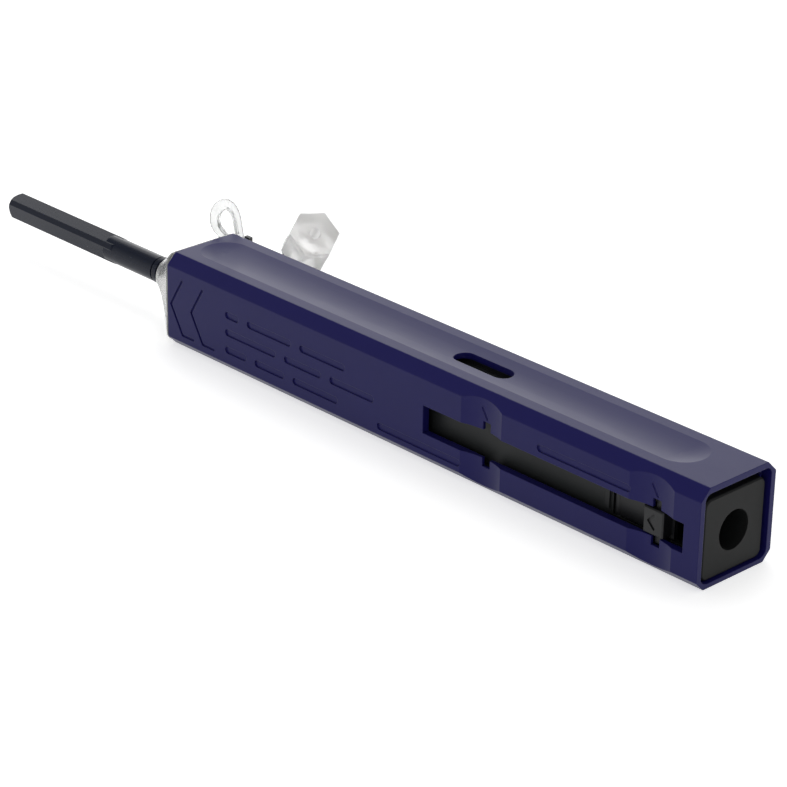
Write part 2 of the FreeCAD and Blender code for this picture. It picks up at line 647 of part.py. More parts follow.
def rear_cover():
    """The cartridge's end plate, with a blind round socket and two snap tongues."""
    middle = AXIS_Z - COVER_DROP
    plate = rounded_block(COVER_RECESS, CASE_REAR, COVER_WIDTH / 2, middle - COVER_HEIGHT / 2,
                          middle + COVER_HEIGHT / 2, CASE_CORNER)
    face_edges = [edge for edge in plate.Edges if abs(edge.CenterOfMass.x - from_rear(COVER_RECESS)) < 0.01]
    plate = plate.makeChamfer(COVER_BEVEL, face_edges)
    depth = COVER_RECESS + SOCKET_DEPTH
    cup = rod_x(CASE_REAR - 0.1, depth + SOCKET_WALL, SOCKET_RADIUS + SOCKET_WALL, 0.0, middle)
    tongues = []
    for z_low, z_high in ((ROOM_FLOOR + FIT_GAP, ROOM_FLOOR + 1.1), (ROOM_ROOF - 1.1, ROOM_ROOF - FIT_GAP)):
        tongues.append(box(CASE_REAR - 0.1, CASE_REAR + 3.5, -2.5, 2.5, z_low, z_high))
    body = fuse_all([plate, cup] + tongues)
    return body.cut(rod_x(-1, depth, SOCKET_RADIUS, 0.0, middle)).removeSplitter()


def axle(name):
    """A plain steel axle across the case."""
    distance, z = axle_places()[name]
    return rod_y(-CASE_SIDE + 0.5, CASE_SIDE - 0.5, AXLE_RADIUS, distance, z)


def pawl_pin():
    """The pawl's short pin."""
    distance, z = pawl_pin_place()
    return rod_y(RATCHET_LAYER - 0.3, CASE_SIDE - 0.5, PAWL_PIN_RADIUS, distance, z)


def latch_pin():
    """The latch arm's upright pin."""
    reach = ARM_HALF_HEIGHT + ARM_GAP + 0.85
    return rod_z(AXIS_Z - reach, AXIS_Z + reach, PIVOT_PIN_RADIUS, PIVOT, PIVOT_Y)


def reel_brake():
    """The thin washer that drags on the supply reel."""
    y = FLANGE_OUTER + 0.05
    return ring_y(y, y + BRAKE_THICKNESS, 2.6, AXLE_RADIUS + RUNNING_GAP, SUPPLY_REEL, REEL_Z)


# ----------------------------------------------------------------- release latch
def latch_arm():
    """The spring arm with its barrel and the two ears under the notches."""
    outer = -CASE_SIDE
    inner = outer + ARM_THICKNESS
    low = AXIS_Z - ARM_HALF_HEIGHT
    high = AXIS_Z + ARM_HALF_HEIGHT
    plate = box(ARM_END, PIVOT, outer, inner, low, high)
    barrel = rod_z(low, high, BARREL_RADIUS, PIVOT, PIVOT_Y)
    ear_outer = -CAVITY_SIDE + EAR_CLEARANCE
    ears = box(LOCK_STANDARD - EAR_WIDTH / 2, LOCK_STANDARD + EAR_WIDTH / 2, ear_outer,
               ear_outer + EAR_THICKNESS, AXIS_Z - EAR_REACH, AXIS_Z + EAR_REACH)
    body = fuse_all([plate, barrel, ears])
    return body.cut(rod_z(low - 1, high + 1, PIVOT_PIN_RADIUS + RUNNING_GAP, PIVOT, PIVOT_Y)).removeSplitter()


def release_button():
    """The raised push plate, with a small arrow pressed into it."""
    half = SLOT_HEIGHT / 2 - BUTTON_GAP
    outer = -SIDE + BUTTON_INSET
    plate = box(BUTTON_START, BUTTON_END, outer, -CASE_SIDE, AXIS_Z - half, AXIS_Z + half)
    ear_outer = -CAVITY_SIDE + EAR_CLEARANCE
    saddle = box(LOCK_STANDARD - EAR_WIDTH / 2, LOCK_STANDARD + EAR_WIDTH / 2, ear_outer, -CASE_SIDE + 1,
                 AXIS_Z - EAR_REACH, AXIS_Z + EAR_REACH)
    middle = (BUTTON_START + BUTTON_END) / 2 + 0.4
    arrow = [(middle - ARROW_SPAN / 2, AXIS_Z + ARROW_SPAN), (middle + ARROW_SPAN / 2, AXIS_Z),
             (middle - ARROW_SPAN / 2, AXIS_Z - ARROW_SPAN)]
    mark = groove(arrow, outer + GROOVE_DEPTH)
    plate = plate.cut(saddle).cut(mark)
    top_edges = [edge for edge in plate.Edges
                 if abs(edge.CenterOfMass.y - outer) < 0.01 and edge.Length > ARROW_SPAN * 1.9]
    return plate.makeChamfer(0.25, top_edges)


def latch_spring():
    """The small coil that pushes the latch arm outwards."""
    return coil_y(-CASE_SIDE + ARM_THICKNESS, LATCH_POST_TIP, LATCH_SPRING_RADIUS, LATCH_SPRING_WIRE, 3,
                  LOCK_STANDARD + 1)


# ----------------------------------------------------------------------- gearing
def involute(angle):
    """The involute function."""
    return math.tan(angle) - angle


def gear_outline(teeth, centre_x, centre_z, tooth_angle):
    """Corners of a spur gear whose first tooth points along tooth_angle in the XZ plane."""
    pitch = MODULE * teeth / 2
    base = pitch * math.cos(PRESSURE_ANGLE)
    tip = pitch + MODULE
    root = pitch - 1.25 * MODULE
    half_pitch_angle = (math.pi / 2) / teeth - BACKLASH / (2 * pitch)
    radii = [root, max(base, root) + 0.02]
    radii += [radii[-1] + (tip - radii[-1]) * step / 3 for step in (1, 2, 3)]
    flank = []
    for radius in radii:
        angle = math.acos(min(1.0, base / max(radius, base)))
        flank.append((radius, half_pitch_angle + involute(PRESSURE_ANGLE) - involute(angle)))
    points = []
    for tooth in range(teeth):
        middle = tooth_angle + 2 * math.pi * tooth / teeth
        profile = [(r, middle - a) for r, a in flank] + [(r, middle + a) for r, a in reversed(flank)]
        points += [(centre_x + r * math.cos(a), centre_z + r * math.sin(a)) for r, a in profile]
    return points


def spur_gear(teeth, place, tooth_angle, y_low):
    """A spur gear with a running bore on one of the axles."""
    distance, z = axle_places()[place]
    outline = gear_outline(teeth, from_rear(distance), z, tooth_angle)
    blank = side_plate(outline, y_low, y_low + GEAR_THICKNESS)
    return blank.cut(rod_y(y_low - 1, y_low + GEAR_THICKNESS + 1, AXLE_RADIUS + RUNNING_GAP, distance, z))


def mesh_angle():
    """Direction in the XZ plane from the drive axle to the take-up axle."""
    return math.atan2(REEL_Z - DRIVE_Z, DRIVE_AXLE - TAKE_UP_REEL)


def drive_gear():
    """The gear on the rack, with the long hub that keeps it in its layer."""
    gear = spur_gear(PINION_TEETH, "drive", -math.pi / 2, DRIVE_LAYER)
    hub = ring_y(DRIVE_LAYER + GEAR_THICKNESS, FLANGE_OUTER + 0.3, PINION_HUB, AXLE_RADIUS + RUNNING_GAP,
                 DRIVE_AXLE, DRIVE_Z)
    return gear.fuse(hub).removeSplitter()


def clutch_gear():
    """The one-way clutch's gear, which turns the take-up reel."""
    return spur_gear(CLUTCH_TEETH, "drive", mesh_angle(), GEAR_LAYER)


def take_up_gear():
    """The gear beside the take-up reel."""
    gap_angle = mesh_angle() + math.pi + math.pi / TAKE_UP_TEETH
    return spur_gear(TAKE_UP_TEETH, "take_up", gap_angle, GEAR_LAYER)


def spool(place, flange_radius, hub_radius, y_low, y_high):
    """A reel: a hub with necks and two flanges, bored to run on its axle."""
    distance, z = axle_places()[place]
    neck = rod_y(y_low, y_high, NECK_RADIUS, distance, z)
    hub = rod_y(-FLANGE_INNER, FLANGE_INNER, hub_radius, distance, z)
    flanges = [rod_y(FLANGE_INNER, FLANGE_OUTER, flange_radius, distance, z),
               rod_y(-FLANGE_OUTER, -FLANGE_INNER, flange_radius, distance, z)]
    body = fuse_all([neck, hub] + flanges)
    return body.cut(rod_y(y_low - 1, y_high + 1, AXLE_RADIUS + RUNNING_GAP, distance, z))


def supply_reel():
    """The reel of fresh tape."""
    return spool("supply", SUPPLY_FLANGE, SUPPLY_HUB, -FLANGE_OUTER, FLANGE_OUTER)


def take_up_reel():
    """The reel of used tape."""
    return spool("take_up", TAKE_UP_FLANGE, TAKE_UP_HUB, GEAR_LAYER + GEAR_THICKNESS, RATCHET_LAYER)


def tape_roll(place, radius, hub_radius):
    """The turns of tape on a reel, as one ring."""
    distance, z = axle_places()[place]
    half = FLANGE_INNER - ROLL_SIDE_GAP
    return ring_y(-half, half, radius, hub_radius, distance, z)


def ratchet_wheel():
    """The saw-toothed wheel that lets the take-up reel turn one way."""
    x = from_rear(TAKE_UP_REEL)
    points = []
    for tooth in range(RATCHET_TEETH):
        start = 2 * math.pi * tooth / RATCHET_TEETH
        step = 2 * math.pi / RATCHET_TEETH
        root = RATCHET_RADIUS - RATCHET_DEPTH
        points.append((x + root * math.cos(start), REEL_Z + root * math.sin(start)))
        points.append((x + RATCHET_RADIUS * math.cos(start + step * 0.94),
                       REEL_Z + RATCHET_RADIUS * math.sin(start + step * 0.94)))
    wheel = side_plate(points, RATCHET_LAYER, RATCHET_LAYER + RATCHET_THICKNESS)
    return wheel.cut(rod_y(0, ROOM_SIDE, AXLE_RADIUS + RUNNING_GAP, TAKE_UP_REEL, REEL_Z))


def ratchet_pawl():
    """The sprung finger that stands at the ratchet's teeth."""
    wheel_x = from_rear(TAKE_UP_REEL)
    distance, pin_z = pawl_pin_place()
    pin_x = from_rear(distance)
    angle = math.radians(PAWL_TIP_DEG)
    reach = RATCHET_RADIUS + PAWL_TIP_GAP
    tip = (wheel_x + reach * math.cos(angle), REEL_Z + reach * math.sin(angle))
    along = (tip[0] - pin_x, tip[1] - pin_z)
    length = math.hypot(*along)
    side = (-along[1] / length * PAWL_WIDTH / 2, along[0] / length * PAWL_WIDTH / 2)
    outline = [(pin_x + side[0], pin_z + side[1]), (pin_x - side[0], pin_z - side[1]),
               (tip[0] - side[0] * 0.3 + PAWL_WIDTH * 0.5, tip[1] - side[1] * 0.3), tip]
    y_low = RATCHET_LAYER + 0.1
    y_high = y_low + RATCHET_THICKNESS - 0.2
    finger = side_plate(outline, y_low, y_high)
    eye = rod_y(y_low, y_high, 1.05, distance, pin_z)
    body = finger.fuse(eye).removeSplitter()
    return body.cut(rod_y(y_low - 1, y_high + 1, PAWL_PIN_RADIUS + RUNNING_GAP, distance, pin_z))


# ----------------------------------------------------------------- cleaning tape
def ribbon(points):
    """A thin tape through (distance, z) points, its thickness laid on the upper side."""
    lower = [(from_rear(d), z) for d, z in points]
    upper = []
    for index, (x, z) in enumerate(lower):
        before = lower[max(index - 1, 0)]
        after = lower[min(index + 1, len(lower) - 1)]
        angle = math.atan2(after[1] - before[1], after[0] - before[0])
        upper.append((x - TAPE_THICKNESS * math.sin(angle), z + TAPE_THICKNESS * math.cos(angle)))
    return side_plate(lower + upper[::-1], -TAPE_WIDTH / 2, TAPE_WIDTH / 2)


def tangent_point(place, radius, from_distance, from_z, side):
    """Where a straight tape meets a roll's upper side, as (distance, z)."""
    distance, z = axle_places()[place]
    dx = from_distance - distance
    dz = from_z - z
    spread = math.hypot(dx, dz)
    angle = math.atan2(dz, dx) + side * math.acos(radius / spread)
    return (distance + radius * math.cos(angle), z + radius * math.sin(angle))


def carriage_mouth():
    """Distance from the rear end at which the tape enters the carriage."""
    return CARRIAGE_REAR - 0.6


def tape_feed():
    """Fresh tape, from the top of the supply roll to the carriage."""
    start_z = AXIS_Z + TAPE_LINE
    top = tangent_point("supply", SUPPLY_ROLL + 0.05, carriage_mouth(), start_z, 1)
    return ribbon([(carriage_mouth(), start_z), top])


def tape_return():
    """Used tape, from the carriage under the supply reel and up to the top of the take-up roll."""
    under_post = POST_HEIGHT - POST_RADIUS - TAPE_THICKNESS - 0.05
    top = tangent_point("take_up", TAKE_UP_ROLL + 0.05, REAR_POST, under_post, 1)
    start = (carriage_mouth(), AXIS_Z - TAPE_LINE - TAPE_THICKNESS)
    bend = REAR_POST - POST_RADIUS / 2
    return ribbon([start, (FRONT_POST, under_post), (bend, under_post), top])


def nozzle_tape():
    """The tape inside the nozzle: out along the top, round the spindle's nose and back below."""
    tail = CARRIAGE_REAR + 1.0
    nose = NOZZLE_TIP - SPINDLE_RECESS - HEAD_HALF_THICKNESS
    inner = TAPE_LINE
    outer = TAPE_LINE + TAPE_THICKNESS
    half = TAPE_WIDTH / 2
    runs = [box(tail, nose, -half, half, AXIS_Z + inner, AXIS_Z + outer),
            box(tail, nose, -half, half, AXIS_Z - outer, AXIS_Z - inner)]
    bend = ring_y(-half, half, outer, inner, nose, AXIS_Z)
    bend = bend.common(box(nose, nose + 2 * outer, -half, half, AXIS_Z - outer, AXIS_Z + outer))
    return fuse_all(runs + [bend])


# ------------------------------------------------------------ carriage and nozzle
def rack_teeth():
    """The rack's teeth: a gap stands under the drive axle at rest."""
    pitch = math.pi * MODULE
    slope = math.tan(PRESSURE_ANGLE)
    half = pitch / 4 - BACKLASH / 2
    root = RACK_PITCH_LINE - 1.25 * MODULE
    tip = RACK_PITCH_LINE + RACK_ADDENDUM
    root_half = half + (RACK_PITCH_LINE - root) * slope
    tip_half = half - RACK_ADDENDUM * slope
    middle = from_rear(DRIVE_AXLE)
    first = -int((RACK_RUN - STROKE) / 2 / pitch)
    last = int((RACK_RUN + STROKE) / 2 / pitch)
    teeth = []
    for index in range(first, last):
        x = middle - (index + 0.5) * pitch
        outline = [(x - root_half, root - 0.1), (x + root_half, root - 0.1), (x + root_half, root),
                   (x + tip_half, tip), (x - tip_half, tip), (x - root_half, root)]
        teeth.append(side_plate(outline, DRIVE_LAYER - 0.1, DRIVE_LAYER - 0.1 + RACK_WIDTH))
    return teeth


def slide_carriage():
    """The sliding block behind the nozzle, with the sled that carries the rack."""
    room = ROOM_SIDE - CARRIAGE_GAP
    low = ROOM_FLOOR + CARRIAGE_GAP
    high = ROOM_ROOF - CARRIAGE_GAP
    plates = [box(CARRIAGE_REAR, CARRIAGE_REAR + CARRIAGE_PLATE, -room, room, low, high),
              box(CARRIAGE_FRONT - CARRIAGE_PLATE, CARRIAGE_FRONT, -room, room, low, high)]
    hub = rod_x(CARRIAGE_REAR, CARRIAGE_FRONT, CARRIAGE_HUB)
    web = box(CARRIAGE_REAR, CARRIAGE_FRONT, -0.8, 0.8, low, high)
    sled_end = DRIVE_AXLE - (RACK_RUN - STROKE) / 2
    root = RACK_PITCH_LINE - 1.25 * MODULE
    sled = box(sled_end, CARRIAGE_FRONT, DRIVE_LAYER - 0.1, 4.0, low, low + SLED_THICKNESS)
    rail = box(sled_end, CARRIAGE_FRONT, DRIVE_LAYER - 0.1, DRIVE_LAYER - 0.1 + RACK_WIDTH, low, root)
    body = fuse_all(plates + [hub, web, sled, rail] + rack_teeth())
    tube_seat = rod_x(CARRIAGE_REAR + CARRIAGE_PLATE, CARRIAGE_FRONT + 1, TUBE_RADIUS + FIT_GAP)
    tape_way = rod_x(CARRIAGE_REAR - 1, CARRIAGE_REAR + CARRIAGE_PLATE + 1, TUBE_BORE)
    return body.cut(tube_seat).cut(tape_way).removeSplitter()


def extension_tube():
    """The long thin tube that carries the nozzle."""
    start = CARRIAGE_REAR + CARRIAGE_PLATE
    end = NOZZLE_REAR + TUBE_INSERTION
    return rod_x(start, end, TUBE_RADIUS).cut(rod_x(start - 1, end + 1, TUBE_BORE))


def square_section(distance):
    """The nozzle's square outline with its four bevelled corners."""
    offset = NOZZLE_FLAT - NOZZLE_FACET / math.sqrt(2)
    points = []
    for corner in range(4):
        for along, out in ((offset, NOZZLE_FLAT), (NOZZLE_FLAT, offset)):
            turn = math.radians(NOZZLE_TURN_DEG - 90 * corner)
            y = along * math.cos(turn) - out * math.sin(turn)
            z = along * math.sin(turn) + out * math.cos(turn)
            points.append(V(from_rear(distance), y, AXIS_Z + z))
    return polygon_face(points)


def nozzle():
    """The nozzle: a rim, a round shank, a long bevelled square and a stepped bore."""
    square_end = NOZZLE_TIP - SQUARE_LENGTH
    shank = rod_x(NOZZLE_REAR, square_end + RUNOUT_LENGTH, SHANK_RADIUS)
    shank = shank.cut(rod_x(NOZZLE_REAR, NOZZLE_REAR + RIM_LENGTH + RIM_GROOVE_LENGTH, RIM_RADIUS))
    neck = rod_x(NOZZLE_REAR, NOZZLE_REAR + RIM_LENGTH + RIM_GROOVE_LENGTH, RIM_GROOVE_RADIUS)
    rim = rod_x(NOZZLE_REAR, NOZZLE_REAR + RIM_LENGTH, RIM_RADIUS)
    corner_radius = math.hypot(NOZZLE_FLAT, NOZZLE_FLAT)
    square = square_section(NOZZLE_TIP).extrude(V(SQUARE_LENGTH, 0, 0))
    runout = Part.makeCone(SHANK_RADIUS, corner_radius, RUNOUT_LENGTH,
                           V(from_rear(square_end), 0, AXIS_Z), V(-1, 0, 0))
    straight = rod_x(square_end + RUNOUT_LENGTH, NOZZLE_TIP - TIP_CHAMFER, corner_radius)
    tip_radius = SHANK_RADIUS - TIP_CHAMFER / 2
    tip_length = corner_radius - SHANK_RADIUS + TIP_CHAMFER / 2
    tip = Part.makeCone(corner_radius, tip_radius, tip_length,
                        V(from_rear(NOZZLE_TIP) + tip_length, 0, AXIS_Z), V(-1, 0, 0))
    head = square.common(fuse_all([runout, straight, tip]))
    body = fuse_all([shank, neck, rim, head])
    seat_end = NOZZLE_REAR + TUBE_INSERTION
    bores = [rod_x(NOZZLE_REAR - 1, seat_end, TUBE_RADIUS + FIT_GAP),
             rod_x(seat_end - 0.1, NOZZLE_TIP + 1, NOZZLE_BORE)]
    return cut_all(body, bores)


def spindle_bush():
    """The bush that guides the spindle and lets the tape past."""
    front = NOZZLE_TIP - BUSH_AT
    start = front - BUSH_LENGTH
    body = rod_x(start, front, NOZZLE_BORE - FIT_GAP)
    half = TAPE_WIDTH / 2 + 0.1
    tools = [rod_x(start - 1, front + 1, SPINDLE_SHAFT + RUNNING_GAP)]
    for z_low in (TAPE_LINE - 0.07, -TAPE_LINE - TAPE_THICKNESS - 0.07):
        tools.append(box(start - 1, front + 1, -half, half,
                         AXIS_Z + z_low, AXIS_Z + z_low + TAPE_THICKNESS + 0.14))
    return cut_all(body, tools)


def tip_spindle():
    """The sprung spindle whose rounded nose presses the tape on the fibre end."""
    nose = NOZZLE_TIP - SPINDLE_RECESS - HEAD_HALF_THICKNESS
    back = nose - SPINDLE_HEAD
    tail = NOZZLE_TIP - BUSH_AT - BUSH_LENGTH - SPINDLE_TAIL
    head = box(back, nose, -HEAD_HALF_WIDTH, HEAD_HALF_WIDTH, AXIS_Z - HEAD_HALF_THICKNESS,
               AXIS_Z + HEAD_HALF_THICKNESS)
    tip = rod_y(-HEAD_HALF_WIDTH, HEAD_HALF_WIDTH, HEAD_HALF_THICKNESS, nose, AXIS_Z)
    shaft = rod_x(tail, back + 0.1, SPINDLE_SHAFT)
    return fuse_all([head, tip, shaft])


def tip_spring():
    """The fine coil behind the spindle's head."""
    start = NOZZLE_TIP - BUSH_AT + FIT_GAP
    end = NOZZLE_TIP - SPINDLE_RECESS - HEAD_HALF_THICKNESS - SPINDLE_HEAD - FIT_GAP
    return coil_x(start, end, TIP_SPRING_RADIUS, TIP_SPRING_WIRE, 5)


def return_spring():
    """The coil that pushes the nozzle out again."""
    start = BULKHEAD + BULKHEAD_THICKNESS / 2
    return coil_x(start, CARRIAGE_REAR, RETURN_SPRING_RADIUS, RETURN_SPRING_WIRE, 6)


# --------------------------------------------------------------- front and tether
def front_guide():
    """The plug in the sleeve's front end, with the nose that the nozzle slides in."""
    inset = PLUG_GAP
    plug = rounded_block(SLEEVE_LENGTH - PLUG_THICKNESS, SLEEVE_LENGTH, CAVITY_SIDE - inset,
                         CAVITY_FLOOR + inset, CAVITY_ROOF - inset, CAVITY_CORNER - inset)
    nose = rod_x(SLEEVE_LENGTH - 0.1, SLEEVE_LENGTH + NOSE_LENGTH, NOSE_RADIUS)
    lug = box(SNAP_START, SNAP_START + SNAP_LENGTH, SIDE, SIDE + SNAP_STAND, SNAP_LOW, SNAP_LOW + SNAP_HEIGHT)
    body = fuse_all([plug, nose, snap_stem(0), lug])
    return body.cut(rod_x(0, NOZZLE_TIP, NOSE_BORE)).removeSplitter()


def collar_section(distance, share, wall):
    """One outline of the tether's collar: square at share 1, round at share 0."""
    half_y = TETHER_MOUTH + (SIDE - TETHER_INSET - TETHER_MOUTH) * share - wall
    foot = AXIS_Z - TETHER_MOUTH + (TETHER_INSET - AXIS_Z + TETHER_MOUTH) * share + wall
    head = AXIS_Z + TETHER_MOUTH + (SLEEVE_HEIGHT - TETHER_INSET - AXIS_Z - TETHER_MOUTH) * share - wall
    radius = min(half_y, (head - foot) / 2) * (0.98 - 0.75 * share)
    return rounded_outline(from_rear(distance), half_y, foot, head, radius)


def collar_cone(start, end, wall):
    """The collar's tapering form between two distances from the rear end."""
    base = SLEEVE_LENGTH + TETHER_BASE
    run = TETHER_COLLAR_LENGTH - TETHER_BASE
    sections = []
    steps = 5
    for step in range(steps + 1):
        distance = start + (end - start) * step / steps
        share = max(0.0, 1.0 - (distance - base) / run)
        sections.append(collar_section(distance, share ** 1.15, wall))
    return Part.makeLoft(sections, True, True)


def tether_collar():
    """The hollow collar over the nose, with its flat flange."""
    base = SLEEVE_LENGTH + TETHER_BASE
    end = SLEEVE_LENGTH + TETHER_COLLAR_LENGTH
    flange_section = collar_section(SLEEVE_LENGTH, 1.0, 0.0)
    flange = Part.Face(flange_section).extrude(V(-TETHER_BASE, 0, 0))
    shell = collar_cone(base, end, 0.0)
    inside = collar_cone(base + 0.01, end, TETHER_WALL)
    body = flange.fuse(shell).cut(inside)
    return body.cut(rod_x(SLEEVE_LENGTH - 1, base + 0.5, NOSE_RADIUS + RUNNING_GAP)).removeSplitter()


def strap_section():
    """The strap's outline across and through its thickness, with bevelled corners."""
    half = STRAP_WIDTH / 2
    rise = STRAP_THICKNESS / 2
    bevel = STRAP_BEVEL
    return [(half, rise - bevel), (half - bevel, rise), (bevel - half, rise), (-half, rise - bevel),
            (-half, bevel - rise), (bevel - half, -rise), (half - bevel, -rise), (half, bevel - rise)]


def strap_band():
    """The flat strap, swept along its route without twist."""
    curve = Part.BSplineCurve()
    curve.interpolate([V(FRONT - ahead, SIDE + beside, lift) for ahead, beside, lift in STRAP_ROUTE])
    across = V(*STRAP_ACROSS)
    rings = []
    for step in range(STRAP_STEPS + 1):
        along = curve.LastParameter * step / STRAP_STEPS
        place = curve.value(along)
        forward = curve.tangent(along)[0]
        across = (across - forward * across.dot(forward)).normalize()
        lift = forward.cross(across)
        rings.append([place + across * a + lift * b for a, b in strap_section()])
    return skin(rings)


def on_cap(depth):
    """A point on the cap's axis, a depth behind its head's face."""
    face = V(FRONT - CAP_AHEAD, SIDE + CAP_BESIDE, CAP_LIFT)
    return face - V(*CAP_AXIS).normalize() * depth


def cap_rod(start, end, radius):
    """A round rod on the cap's axis between two depths."""
    return Part.makeCylinder(radius, end - start, on_cap(end), V(*CAP_AXIS))


def cap_hex(start, end, flats):
    """A hexagonal bar on the cap's axis, with two of its flats level."""
    axis = V(*CAP_AXIS).normalize()
    level = axis.cross(V(0, 0, 1)).normalize()
    rise = level.cross(axis)
    corner = flats / math.sqrt(3)
    points = []
    for step in range(6):
        angle = math.pi * step / 3 + math.radians(CAP_TURN_DEG)
        points.append(on_cap(end) + level * (corner * math.cos(angle)) + rise * (corner * math.sin(angle)))
    return polygon_face(points).extrude(axis * (end - start))


def tether_strap():
    """The soft tether: the collar, the strap and the ring round the cap's neck, moulded as one."""
    middle = CAP_HEAD_LENGTH + CAP_BODY_LENGTH + CAP_NECK_LENGTH / 2
    start = middle - RING_LENGTH / 2
    end = middle + RING_LENGTH / 2
    ring = cap_rod(start, end, RING_RADIUS).cut(cap_rod(start - 1, end + 1, CAP_NECK_RADIUS + RING_GAP))
    band = strap_band().cut(cap_rod(start - 2, end + 2, RING_RADIUS - 0.4))
    collar_end = SLEEVE_LENGTH + TETHER_COLLAR_LENGTH
    band = band.cut(collar_cone(SLEEVE_LENGTH + TETHER_BASE, collar_end, TETHER_WALL / 2))
    return fuse_all([tether_collar(), band, ring])


def guide_cap():
    """The hexagonal guide cap: a head, a body, a neck for the ring, and a bore for a ferrule."""
    shoulder = CAP_HEAD_LENGTH + CAP_BODY_LENGTH
    neck_end = shoulder + CAP_NECK_LENGTH
    end = neck_end + CAP_LIP_LENGTH
    head = cap_hex(0, CAP_HEAD_LENGTH, CAP_HEAD_FLATS)
    hexagon = cap_hex(CAP_HEAD_LENGTH - 0.1, shoulder, CAP_BODY_FLATS)
    neck = cap_rod(shoulder - 0.1, neck_end + 0.1, CAP_NECK_RADIUS)
    lip = cap_rod(neck_end, end, CAP_LIP_RADIUS)
    ferrule_bore = cap_rod(-1, end + 1, FERRULE_BORE)
    socket = cap_rod(end - CAP_SOCKET_DEPTH, end + 1, CAP_SOCKET_RADIUS)
    return cut_all(fuse_all([head, hexagon, neck, lip]), [ferrule_bore, socket])


PIECES = {
    "outer_sleeve": outer_sleeve, "front_guide": front_guide,
    "rear_cover": rear_cover, "supply_axle": lambda: axle("supply"), "take_up_axle": lambda: axle("take_up"),
    "drive_axle": lambda: axle("drive"), "pawl_pin": pawl_pin, "latch_pin": latch_pin,
    "reel_brake": reel_brake, "latch_arm": latch_arm, "release_button": release_button,
    "latch_spring": latch_spring, "drive_gear": drive_gear, "clutch_gear": clutch_gear,
    "take_up_gear": take_up_gear, "supply_reel": supply_reel, "take_up_reel": take_up_reel,
    "supply_tape_roll": lambda: tape_roll("supply", SUPPLY_ROLL, SUPPLY_HUB),
    "used_tape_roll": lambda: tape_roll("take_up", TAKE_UP_ROLL, TAKE_UP_HUB),
    "ratchet_wheel": ratchet_wheel, "ratchet_pawl": ratchet_pawl,
    "tape_feed": tape_feed, "tape_return": tape_return, "nozzle_tape": nozzle_tape,
    "slide_carriage": slide_carriage, "extension_tube": extension_tube, "nozzle": nozzle,
    "spindle_bush": spindle_bush, "tip_spindle": tip_spindle, "tip_spring": tip_spring,
    "return_spring": return_spring, "tether_strap": tether_strap, "guide_cap": guide_cap,
}


def main():
    """Write one STEP file for each piece."""
    os.makedirs("parts", exist_ok=True)
    shapes = {name: build() for name, build in PIECES.items()}
    shapes["case_near_half"], shapes["case_far_half"] = case_halves()
    for name, shape in shapes.items():
        if shape.ShapeType != "Solid" and len(shape.Solids) == 1:
            shape = shape.Solids[0]
        shape.exportStep("parts/" + name + ".step")


if __name__ == "__main__":
    main()
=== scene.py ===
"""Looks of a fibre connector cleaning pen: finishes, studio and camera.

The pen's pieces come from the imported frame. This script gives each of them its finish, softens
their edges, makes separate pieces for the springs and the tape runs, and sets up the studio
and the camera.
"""
import json
import logging
import math
from dataclasses import dataclass
from enum import Enum
from typing import Dict, Sequence, Tuple

import bmesh
import bpy
from mathutils import Matrix, Vector

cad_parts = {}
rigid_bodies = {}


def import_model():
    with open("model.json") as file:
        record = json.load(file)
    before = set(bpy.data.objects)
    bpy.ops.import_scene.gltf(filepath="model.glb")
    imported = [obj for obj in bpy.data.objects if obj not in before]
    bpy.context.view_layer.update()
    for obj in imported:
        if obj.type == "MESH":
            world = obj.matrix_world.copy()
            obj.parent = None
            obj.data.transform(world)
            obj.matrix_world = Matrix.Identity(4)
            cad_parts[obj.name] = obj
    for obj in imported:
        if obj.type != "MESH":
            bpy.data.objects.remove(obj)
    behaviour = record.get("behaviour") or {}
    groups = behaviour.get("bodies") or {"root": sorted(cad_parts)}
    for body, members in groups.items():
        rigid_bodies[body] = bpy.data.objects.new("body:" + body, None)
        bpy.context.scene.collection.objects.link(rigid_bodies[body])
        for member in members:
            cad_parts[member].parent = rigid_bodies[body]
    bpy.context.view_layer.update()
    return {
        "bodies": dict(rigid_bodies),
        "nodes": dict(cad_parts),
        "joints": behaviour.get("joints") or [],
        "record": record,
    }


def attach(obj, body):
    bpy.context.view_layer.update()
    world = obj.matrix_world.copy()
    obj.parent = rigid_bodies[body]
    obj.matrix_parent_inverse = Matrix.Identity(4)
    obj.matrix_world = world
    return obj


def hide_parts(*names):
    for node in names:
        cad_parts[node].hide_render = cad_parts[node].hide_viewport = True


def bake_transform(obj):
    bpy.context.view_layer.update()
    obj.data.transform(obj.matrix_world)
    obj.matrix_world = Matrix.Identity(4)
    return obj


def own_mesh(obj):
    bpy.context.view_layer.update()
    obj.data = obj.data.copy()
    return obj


LOG = logging.getLogger("cleaning_pen")

MM = 0.001
MERGE_MM = 0.001        # corners of a node's loose triangles that lie this close are one
CRISP_EDGE_DEG = 30.0   # an edge from this angle on stays crisp
TINT_PATCH_MM = 9.0     # size of a patch of slightly different colour
GLOSS_PATCH_MM = 4.0    # size of a patch of slightly different gloss
FLOW_PATCH_MM = 3.0     # size of a gentle wave in a polished mould
DRAWN_STRETCH = 14.0    # how much longer than wide a drawn line is
LOWEST_ROUGHNESS = 0.05
RELIEF_STRENGTH = 0.6
EDGE_SAMPLES = 6
PLASTIC_IOR = 1.45
SCATTER_SHARE = 0.8     # of the light in a milky plastic
SCATTER_MM = 2.5        # how deep it goes
Colour = Tuple[float, float, float]
Point = Tuple[float, float, float]


def mm(*values: float) -> Vector:
    """Turns millimetres into a vector in metres.

    Args:
        values: Three lengths in millimetres.

    Returns:
        The vector in metres.
    """
    return Vector(values) * MM


